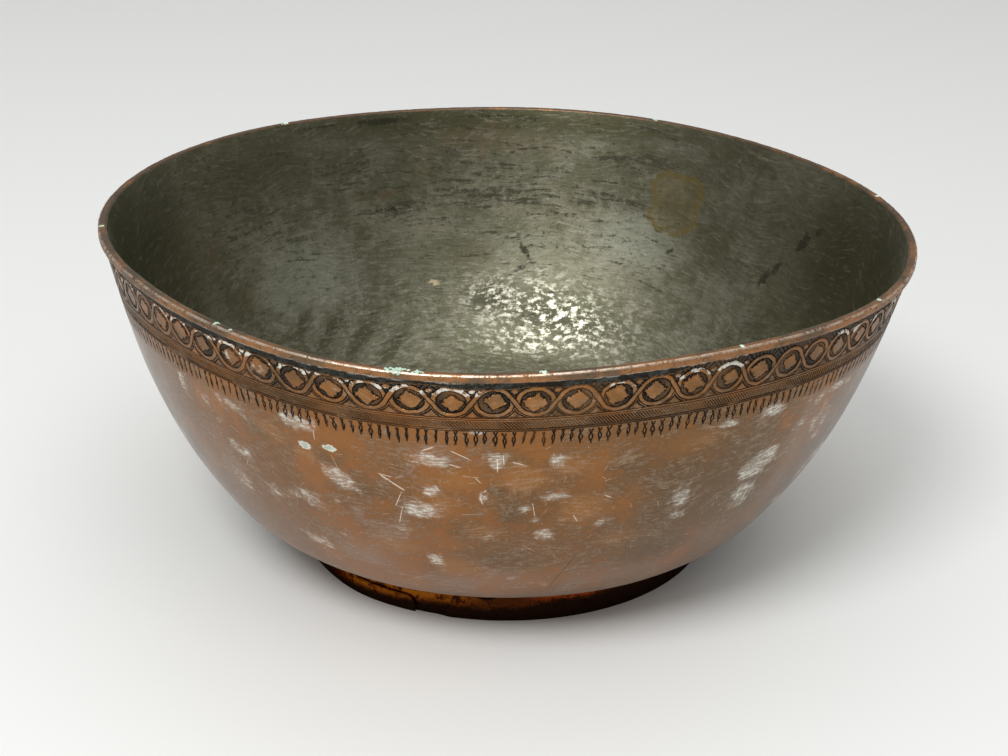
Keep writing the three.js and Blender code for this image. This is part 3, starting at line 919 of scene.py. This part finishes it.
def tin_finish():
    material, tree, shader, place = new_finish("dulled_tin")
    down = kept(tree, "down")
    cloud = noise(place, 0.030, roughness=0.6)
    blotch = noise(place, 0.12, detail=4.0, roughness=0.7)
    mottle = noise(place, 0.42, detail=4.0, roughness=0.75)
    fine = noise(place, 1.3, roughness=0.75)
    wiped = brushed(place, down, 0.07, 0.75, detail=4.0)
    scoured = brushed(moved(place, (31.0, 17.0, 53.0)), down, 0.16, 1.3, detail=4.0, sway=30.0)
    uneven = blotch - 0.5
    dashes = (wiped * 0.75 + mottle * 0.4 + kept(tree, "streaked") * 0.13).over(0.607, 0.73)
    speck = (mottle * 0.65 + fine * 0.45).over(0.58, 0.70)
    near = kept(tree, "stained") + uneven * 0.4 + (mottle - 0.5) * 0.5
    ring = near.over(0.30, 0.52) * (0.45 + near.under(0.50, 0.75) * 0.55)
    burnt = (kept(tree, "burnt") + (mottle - 0.5) * 0.9 + (fine - 0.5) * 0.5).over(0.34, 0.62)
    gilded = (kept(tree, "gilded") + (fine - 0.5) * 1.2).over(0.34, 0.80)
    pool = (down.over(52.0, 78.0) * 0.22).most(kept(tree, "speckled"))
    pitted = brushed(place, down, 0.26, 0.95, detail=5.0, sway=20.0) * 0.55 + mottle * 0.45
    scale = pool * pitted.under(0.47, 0.53)
    colour = coated(
        green_tin,
        ((cloud * 0.4 + blotch * 0.35 + wiped * 0.35).over(0.46, 0.62), pale_tin),
        ((kept(tree, "blued") + uneven * 0.8).over(0.20, 0.90) * 0.7, blue_tin),
        # Painted shade on the side walls, the back wall and under the back rim, and the broad dark wipes
        ((kept(tree, "painted_shade_and_wipes") + uneven * 0.8).over(0.15, 0.95) * 0.85, olive_tin),
        ((kept(tree, "browned") + uneven).over(0.30, 0.80) * 0.75, brown_tin),
        (dashes * 0.72, dark_tin),
        (speck * 0.6, olive_tin),
        ((mottle * 0.6 + fine * 0.5).under(0.38, 0.50) * 0.18, silver_tin),
        (scoured.over(0.54, 0.66) * 0.14, silver_tin),
        (scoured.under(0.36, 0.47) * 0.30, olive_tin),
        (ring * 0.80, rust_stain),
        (burnt * 0.85, dark_tin),
        (gilded * 0.75, gilt),
        (scale * 0.85, scale_tin),
        (pool * pitted.over(0.51, 0.58) * 0.75, silver_tin))
    dull = reduce(Wire.most, (dashes, speck * 0.6, burnt, scale * 0.8))
    roughness = 0.50 - pool * 0.10 + (cloud - 0.5) * 0.2 + dull * 0.2 + ring * 0.1
    crinkle = noise(place, 0.36, roughness=0.6)
    height = wiped * 0.04 + scoured * 0.02 + fine * 0.014 + crinkle * (0.08 + pool * 0.18)
    dress(tree, shader, colour, roughness, 1 - dull * 0.15 - ring * 0.2, height)
    return material


# Stains and worn places, as marks, and painted shade: where the tin is dark (painted shade on both
# side walls, on the back wall and just under the back rim, and broad dark wipes), browned or bluish,
# where the dashes of the wiping crowd, the ring of rust, the bright specks, and the burnt and the gilded
# spots
tin_marks = {
    "painted_shade_and_wipes": [
        (178, 28, 50, 34, 0.95), (3, 28, 60, 34, 0.95), (140, 12, 50, 12, 0.6), (30, 75, 40, 16, 0.4),
        (205, 60, 40, 30, 0.5), (335, 45, 50, 34, 0.5), (100, 60, 26, 9, 0.6), (92, 106, 60, 7, 0.7),
        (90, 2, 100, 6, 1.0), (131, 84, 3.2, 13, 1.0, 45), (124, 90, 3.4, 14, 1.0, 50),
        (117, 97, 3.6, 12, 1.0, 50), (137, 78, 3.0, 9, 0.9, 45), (87, 55, 24, 9, 0.5), (95, 22, 36, 9, 0.45)],
    "browned": [
        (113.7, 31.8, 16, 2.4, 0.7), (104, 24, 16, 6, 0.5), (95, 11, 34, 9, 0.65), (172, 44, 6, 10, 0.6),
        (152.8, 38.9, 9, 8, 0.6), (149, 60, 10, 9, 0.6), (190, 62, 14, 8, 0.45), (300, 72, 20, 8, 0.5),
        (118, 66, 8, 8, 0.35), (250, 60, 22, 12, 0.5), (50, 14, 20, 6, 0.45)],
    "blued": [
        (63.5, 47.4, 22, 12, 1.0), (86, 55, 18, 8, 0.6), (134, 60, 26, 20, 1.0), (40, 60, 20, 20, 0.6),
        (220, 50, 30, 20, 0.7), (310, 40, 40, 20, 0.7), (60, 6, 16, 4, 0.6)],
    "streaked": [
        (108, 37, 16, 5, 1.0), (92, 34.5, 26, 4, 1.0), (70, 33.5, 16, 3, 0.9), (67, 15, 16, 3.5, 0.9),
        (118, 20, 16, 7, 0.6), (104, 27, 34, 14, 0.5), (140, 35, 20, 12, 0.5), (230, 40, 60, 14, 0.6),
        (320, 36, 60, 12, 0.6)],
    "stained": [
        (59.3, 24.6, 7.0, 7.0, 1.0), (55.3, 24.6, 7.0, 7.0, 1.0), (59.2, 34.6, 6.6, 6.6, 1.0),
        (55.6, 34.2, 6.6, 6.6, 1.0), (56.8, 40.0, 3.0, 3.0, 0.9)],
    "speckled": [
        (78, 85, 30, 12, 1.0, 10), (92, 78, 12, 8, 1.0), (80, 96, 30, 8, 0.7), (255, 85, 26, 12, 0.8)],
    "burnt": [
        (113.0, 1.2, 10.0, 1.5, 0.9), (92, 1.0, 24, 0.8, 0.6), (125, 1.0, 16, 0.9, 0.6),
        (26.8, 27.2, 2.4, 5.4, 0.85, 35), (23.5, 21.0, 2.2, 3.5, 0.7, 40), (33.7, 46.7, 1.9, 5.4, 0.8, 25),
        (31.5, 41.0, 1.8, 4.5, 0.7, 30), (56.5, 49, 1.4, 3.0, 0.7, 40), (112.0, 38.0, 22.0, 1.4, 0.55),
        (86.0, 57.6, 1.5, 5.5, 0.75, -38), (86.8, 65.1, 1.5, 5.5, 0.65, 60), (200.0, 40.0, 5.0, 4.0, 0.7),
        (260, 50, 6, 2, 0.6, 10)],
    "gilded": [
        (105.0, 70.8, 2.2, 1.1, 1.1, 20), (40.0, 2.4, 9.0, 0.8, 0.62, 3)]}

tin_coat = grown("tin_coat", spun_tree("tin_coat", sheet_line, tin_finish()), {
    "Columns": 460, "Back rows": 154, "From": tin_edge, "To": wall_length,
    "Depth": sheet + tin_gap, "Thickness": tin_thickness})
mark(tin_coat, tin_marks)
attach(tin_coat, "root")
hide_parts("tin_lining")

# Foot hoop: a strip of thicker copper bent round, flared to stand steady. Its two ends are
# hammered thin and lapped, and the outer one ends in a round tongue, brazed down on the other.
foot_height = 11.8
foot_seat_radius = 74.5
foot_radius = 77.6
foot_thickness = 1.8
foot_ease = 0.35             # size of the worn corners that it stands on
lap_start, lap_angle = 218.0, 31.5                      # degrees, as all of the lap's angles
lap_thickness, lap_ramp, lap_clear = 0.9, 5.0, 5.0      # of each end, and how it is thinned
tongue_angle, tongue_top, tongue_slant = 25.5, 5.4, 6.0
tip_angle = 2.8                                         # the tongue's round end
flat_angle, flat_depth, flat_spread = math.radians(208), 2.9, math.radians(30)
seat_gap = 0.3
foot_steps = 783             # stretches along the strip
face_levels = 18


def eased(value, low, high):
    """Rises smoothly from 0 to 1 as a value goes from low to high."""
    t = min(max((value - low) / (high - low), 0.0), 1.0)
    return t * t * (3 - 2 * t)


def foot_face(height):
    down = 1 - height / foot_height
    return foot_seat_radius + (foot_radius - foot_seat_radius) * math.sin(down * math.pi / 2)


def bottom_height(radius):
    """Height of the bottom's underside above its own middle, at a radius."""
    return bottom_rise / bottom_radius ** 2 * radius * radius


def foot_section(run, angle):
    """The strip's section at a distance along it in degrees: up the outer face, down the inner one."""
    full = 360 + lap_angle
    hollow = foot_thickness - lap_thickness
    inner_end = hollow * (1 - eased(run, lap_angle + lap_clear, lap_angle + lap_clear + lap_ramp))
    outer_end = eased(run, 360 - lap_ramp - lap_clear, 360 - lap_clear)
    narrow = eased(run, full - tongue_angle, full - tongue_angle + tongue_slant)
    tip = max((run - (full - tip_angle)) / tip_angle, 0.0)
    away = abs((angle - flat_angle + math.pi) % math.tau - math.pi)
    flat = flat_depth * (1 - eased(away, 0.0, flat_spread))
    inner_seat = foot_seat_radius - foot_thickness - flat
    top = body_lift + bottom_height(inner_seat) - seat_gap
    bevel = (bottom_height(inner_seat + foot_thickness) - bottom_height(inner_seat)) * (1 - narrow)
    top = top + (tongue_top - top) * narrow
    top = max(top * math.sqrt(1 - tip * tip * 0.8), 1.5)
    out = outer_end * seat_gap - flat
    face, back = out - inner_end, out - foot_thickness + outer_end * hollow

    def level(k):
        return foot_ease + (top - foot_ease) * k / face_levels

    section = []
    for k in range(face_levels + 1):
        soft = 0.3 * (max(k / face_levels - 0.85, 0.0) / 0.15) ** 2 * narrow
        section.append((foot_face(level(k)) + face - soft, level(k) + (bevel if k == face_levels else 0.0)))
    section += [(foot_face(level(k)) + back, level(k)) for k in (face_levels, face_levels // 2, 0)]
    stand, part = foot_face(0), foot_ease * 0.3
    return section + [(stand + back + part, part), (stand + back + foot_ease, 0),
                      (stand + face - foot_ease, 0), (stand + face - part, part)]


def foot_mesh():
    points, faces = [], []
    full = 360 + lap_angle
    for i in range(foot_steps + 1):
        run = full * i / foot_steps
        angle = math.radians(lap_start + run)
        section = foot_section(run, angle)
        points += [(r * math.cos(angle) * MM, r * math.sin(angle) * MM, z * MM) for r, z in section]
    ring = len(section)
    for i in range(foot_steps):
        for k in range(ring):
            a, b = i * ring + k, i * ring + (k + 1) % ring
            faces.append((a, a + ring, b + ring, b))
    last = foot_steps * ring
    faces.append(tuple(range(ring)))
    faces.append(tuple(last + k for k in reversed(range(ring))))
    mesh = bpy.data.meshes.new("foot_hoop")
    mesh.from_pydata(points, [], faces)
    mesh.shade_smooth()
    mesh.set_sharp_from_angle(angle=math.radians(40))
    return mesh


# Painted reflection of the copper belly above, in amber
reflected_amber = (0.27, 0.084, 0.007)
red_copper = (0.100, 0.020, 0.004)
maroon_copper = (0.062, 0.016, 0.004)
# Painted reflection of the copper above, in red
reflected_red = (0.340, 0.055, 0.008)
foot_black = (0.010, 0.005, 0.003)


def foot_finish():
    material, tree, shader, place = new_finish("lacquered_copper")
    x, y, z = place.parts()
    cloud = noise(place, 0.045, roughness=0.6)
    streak = noise(place, 0.35, detail=4.0, roughness=0.7)
    fine = noise(place, 1.1, roughness=0.7)
    front = y < 0.0
    wavy = z + (streak - 0.5) * 5.0
    # Painted reflection of the copper belly in the foot's upper face: amber at the front left, and in patches
    # at the back
    painted_amber_reflection = x.over(-58.0, -48.0) * x.under(-22.0, 4.0) * front
    painted_amber_reflection = painted_amber_reflection.most(noise(place, 0.018, detail=1.0).over(0.54, 0.64) * (1 - front) * 0.8)
    painted_amber_reflection = painted_amber_reflection * (wavy - x * 0.08).over(5.0, 8.0)
    # Painted reflection: a red glow from the copper above, on the front right
    painted_red_reflection = x.over(6.0, 26.0) * front * wavy.over(6.0, 8.0)
    # Black towards the floor: dirt, and painted shadow where the foot stands
    low = (wavy + (cloud - 0.5) * 6.0 - x * 0.045).under(4.0, 6.5)
    spots = (streak * 0.6 + fine * 0.5).over(0.56, 0.68)
    crack = abs(x + 46.6 + (streak - 0.5) * 5.0).under(0.25, 0.7) * z.over(6.0, 7.0) * front
    pit = ((x + 3.1) / 3.4) ** 2.0 + ((z - 8.6) / 1.5) ** 2.0 + (streak - 0.5)
    colour = coated(
        red_copper,
        ((cloud * 0.8 + streak * 0.3).over(0.42, 0.66), maroon_copper),
        (painted_amber_reflection, coated(reflected_amber, (streak.over(0.45, 0.62), red_copper))),
        (painted_red_reflection, reflected_red),
        (low * 0.95, foot_black),
        (spots * 0.85, foot_black),
        (crack.most(pit.under(0.7, 1.2) * front), foot_black),
        (z.over(10.2, foot_height) * 0.7, foot_black))
    roughness = 0.30 + low * 0.2 + spots * 0.2 + (fine - 0.5) * 0.15
    shader.inputs["Specular IOR Level"].default_value = 0.25
    shader.inputs["Specular Tint"].default_value = (0.45, 0.20, 0.08, 1)
    dress(tree, shader, colour, roughness, 1 - low * 0.2, streak * 0.14 + fine * 0.02)
    return material


foot_hoop = placed("foot_hoop", foot_mesh())
foot_hoop.data.materials.append(foot_finish())
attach(foot_hoop, "root")
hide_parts("foot_ring")

# Braze: the fillet of spelter run into the corner between the foot and the bottom, from below.
# It holds the foot, and lies a little lumpy and crusted with burnt flux.
braze_leg = 3.2              # how far it runs down the foot, and in along the bottom
braze_hollow = 0.7
braze_overlap = 0.05         # past the line's end, so that the section closes in its corner
flux_cream = (0.30, 0.26, 0.17)
flux_brown = (0.12, 0.10, 0.075)
flux_black = (0.035, 0.030, 0.026)
braze_wall = foot_seat_radius - foot_thickness - seat_gap
braze_low = foot_height - braze_leg
braze_toe = Vector((foot_face(braze_low) - foot_thickness - seat_gap, braze_low - body_lift))
braze_corner = Vector((braze_wall, bottom_height(braze_wall) - seat_gap))
braze_end = Vector((braze_wall - braze_leg, bottom_height(braze_wall - braze_leg) - seat_gap))
braze_middle = braze_toe.lerp(braze_end, 0.5)
braze_pull = braze_middle + (braze_corner - braze_middle).normalized() * braze_hollow * 4 / 3
braze_line = [straight(braze_corner, braze_toe), (braze_toe, braze_pull, braze_pull, braze_end),
              straight(braze_end, braze_corner)]


def drawn_in(angle, radius, height):
    """Radius and height above the floor, drawn in with the hoop's flat and down with the bottom."""
    away = abs(((angle - flat_angle + math.pi) % math.tau) - math.pi)
    drawn = radius - away.under(0.0, flat_spread) * flat_depth
    return drawn, height - bottom_height(radius) + bottom_height(drawn) + body_lift


def braze_finish():
    material, tree, shader, place = new_finish("crusted_braze")
    cloud = noise(place, 0.12, roughness=0.6)
    fine = noise(place, 0.9, detail=4.0, roughness=0.7)
    crust = (cloud * 0.5 + fine * 0.6).over(0.56, 0.72)
    colour = coated(flux_cream, (cloud.over(0.4, 0.62), flux_brown), (crust * 0.8, flux_black))
    dress(tree, shader, colour, 0.45 + crust * 0.4, 1 - crust * 0.7, fine * 0.12 + cloud * 0.2)
    return material


def braze_relief(turn, down, place):
    """Lumps, which fade out towards the corner, where the section closes."""
    whole = line_length(braze_line)
    fade = down.over(0.0, 0.6) * down.under(whole - 0.6, whole - braze_overlap)
    return noise(place, 0.22).over(0.3, 0.8) * fade * 0.35


braze_tree = spun_tree("braze_fillet", braze_line, braze_finish(), braze_relief, closed=True, bent=drawn_in)
braze_fillet = grown("braze_fillet", braze_tree, {
    "Columns": 720, "Rows": 30, "To": line_length(braze_line) + braze_overlap})
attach(braze_fillet, "root")
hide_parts("foot_braze")

# Verdigris: pale green crusts that grow where the copper stays damp, along the rim. Each is a heap
# of small lumps.
rim_crusts = [(257.6, 1.4, 2.4), (260.5, 0.8, 1.0), (275.0, 0.9, 1.1), (232.5, 0.9, 0.9), (235.0, 0.6, 0.8),
              (300.6, 0.8, 0.8), (328.0, 0.8, 1.0), (64.0, 0.9, 1.2), (131.0, 1.1, 1.5), (190.0, 0.8, 1.0),
              (12.0, 0.9, 1.0)]   # angle, half width, and how many times as long
crust_green = (0.62, 0.76, 0.64)
deep_green = (0.26, 0.42, 0.33)
damp_green = (0.44, 0.60, 0.49)


def crust_seeds():
    """Points where the lumps sit, with their sizes."""
    dice = random.Random(11)
    points, sizes = [], []
    for degrees, half, stretch in rim_crusts:
        for _ in range(int(10 + 10 * half * stretch)):
            angle = math.radians(degrees) + dice.gauss(0, 0.5) * half * stretch / rim_radius
            across = dice.uniform(-0.9, 0.9) * min(half, 1.1)
            drop = 0.30 + max(across - 0.2, 0.0) ** 2 * 0.8
            reach, height = raised(angle, rim_radius - rim_width * 0.5 + across, body_height - drop)
            points.append((reach * math.cos(angle) * MM, reach * math.sin(angle) * MM, height * MM))
            sizes.append(dice.uniform(0.25, 0.50) * half ** 0.6)
    mesh = bpy.data.meshes.new("crust_seeds")
    mesh.from_pydata(points, [], [])
    mesh.attributes.new("size", "FLOAT", "POINT").data.foreach_set("value", sizes)
    return mesh


def crust_tree(material):
    """A tree that puts an uneven lump on every vertex, as large as the vertex says."""
    tree, given = new_tree("verdigris", {"Geometry": None, "Lump": MM, "Seed": 0})
    lump = Wire.make(tree, "GeometryNodeMeshIcoSphere", {"Radius": given["Lump"], "Subdivisions": 2})
    size = Wire.make(tree, "GeometryNodeInputNamedAttribute", {"Name": "size"}, {"data_type": "FLOAT"})
    turns = {1: (math.tau, math.tau, math.tau), "Seed": given["Seed"]}
    spin = Wire.make(tree, "FunctionNodeRandomValue", turns, {"data_type": "FLOAT_VECTOR"})
    lumps = given["Geometry"].through("GeometryNodeInstanceOnPoints", {
        "Instance": lump, "Scale": size, "Rotation": spin})
    lumps = lumps.through("GeometryNodeRealizeInstances")
    here = scaled(Wire.make(tree, "GeometryNodeInputPosition"), 1 / MM)
    rough = moved(noise(here, 1.4, detail=2.0, output=1), (-0.5, -0.5, -0.5))
    lumps = lumps.through("GeometryNodeSetPosition", {"Offset": scaled(rough, 0.5 * MM)})
    return ended(lumps, material)


def crust_finish():
    material, tree, shader, place = new_finish("verdigris")
    fine = noise(place, 1.6, roughness=0.7)
    damp = noise(place, 0.25, detail=1.0).over(0.42, 0.60)
    colour = coated(crust_green, (damp, damp_green), (fine.over(0.50, 0.70) * 0.6, deep_green))
    dress(tree, shader, colour, 0.85 + fine * 0.1, fine * 0.0, fine * 0.08)
    return material


verdigris = grown("verdigris", crust_tree(crust_finish()), {"Lump": MM, "Seed": 4}, crust_seeds())
verdigris.data.shade_smooth()
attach(verdigris, "root")

# Stage: a plain pale floor that runs off behind, soft light from above and from the front, and
# the camera where the photograph was taken from. None of it is part of the bowl.
floor_size = 9.0
floor_white = (0.78, 0.79, 0.78)
sky_low, sky_high = 0.42, 0.58
camera_lens, camera_sensor = 64.29, 36.0
camera_distance = 656.0
camera_elevation = math.radians(23.82)
camera_roll = math.radians(1.5)
camera_target = Vector((0.9, 0.0, 55.4))


def stage_floor():
    mesh = bpy.data.meshes.new("stage_floor")
    half = floor_size / 2
    mesh.from_pydata([(-half, -half, 0), (half, -half, 0), (half, half, 0), (-half, half, 0)], [],
                     [(0, 1, 2, 3)])
    floor = placed("stage_floor", mesh)
    material = bpy.data.materials.new("stage_floor")
    material.use_nodes = True
    shader = material.node_tree.nodes["Principled BSDF"]
    shader.inputs["Base Color"].default_value = (*floor_white, 1)
    shader.inputs["Roughness"].default_value = 0.6
    mesh.materials.append(material)


def soft_lamp(name, place, size, watts):
    """A round lamp that shines at the bowl."""
    lamp = bpy.data.lights.new(name, "AREA")
    lamp.shape = "DISK"
    lamp.size = size
    lamp.energy = watts
    piece = placed(name, lamp)
    piece.location = place
    piece.rotation_euler = (-Vector(place)).to_track_quat("-Z", "Y").to_euler()


def sky():
    """Even light that is stronger from above than from the side."""
    world = bpy.data.worlds.new("sky")
    bpy.context.scene.world = world
    world.use_nodes = True
    tree = world.node_tree
    background = tree.nodes["Background"]
    _, _, up = Wire.make(tree, "ShaderNodeTexCoord", output="Generated").parts()
    level = sky_low + up.over(-0.1, 0.9) * (sky_high - sky_low)
    tree.links.new(level.socket, background.inputs["Strength"])
    background.inputs["Color"].default_value = (1.0, 1.0, 0.985, 1)


def camera():
    back = Vector((0, -math.cos(camera_elevation), math.sin(camera_elevation)))
    data = bpy.data.cameras.new("camera")
    data.lens, data.sensor_width = camera_lens, camera_sensor
    piece = placed("camera", data)
    piece.location = (camera_target + back * camera_distance) * MM
    aimed = (-back).to_track_quat("-Z", "Y").to_matrix()
    piece.rotation_euler = (Matrix.Rotation(camera_roll, 3, aimed @ Vector((0, 0, 1))) @ aimed).to_euler()
    bpy.context.scene.camera = piece


stage_floor()
soft_lamp("key_lamp", (-0.48, -1.07, 1.42), 0.7, 20)
soft_lamp("front_light", (0.25, -1.1, 2.1), 1.4, 9)
soft_lamp("overhead_light", (0.2, 0.5, 1.9), 1.6, 4)
sky()
camera()
bpy.context.scene.view_settings.view_transform = "Standard"
